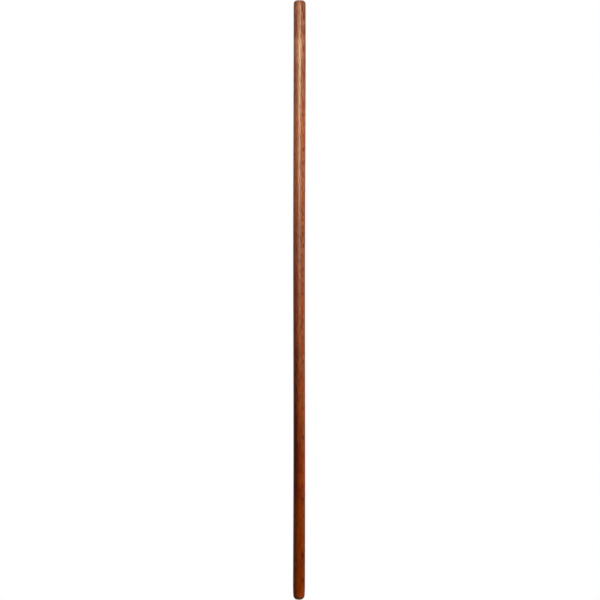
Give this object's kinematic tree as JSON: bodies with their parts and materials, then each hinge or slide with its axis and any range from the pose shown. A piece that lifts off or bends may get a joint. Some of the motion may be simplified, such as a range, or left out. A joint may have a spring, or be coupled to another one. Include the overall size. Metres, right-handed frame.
{
  "type": "roller extension pole",
  "caption": "Plain round hardwood pole with rounded ends, stained and varnished, pushed into the hollow handle of a paint roller to lengthen its reach.",
  "frame": {"origin": "centre of the small flat on the butt, the domed end that the hand holds", "axes": "+Z runs along the pole, from the butt to the end that goes into the roller handle; X and Y are across it"},
  "size_m": [0.0238, 0.0238, 1.2192],
  "materials": {
    "stained_hardwood": "satin"
  },
  "bodies": {
    "root": {"wooden_pole": "stained_hardwood"}
  },
  "joints": []
}
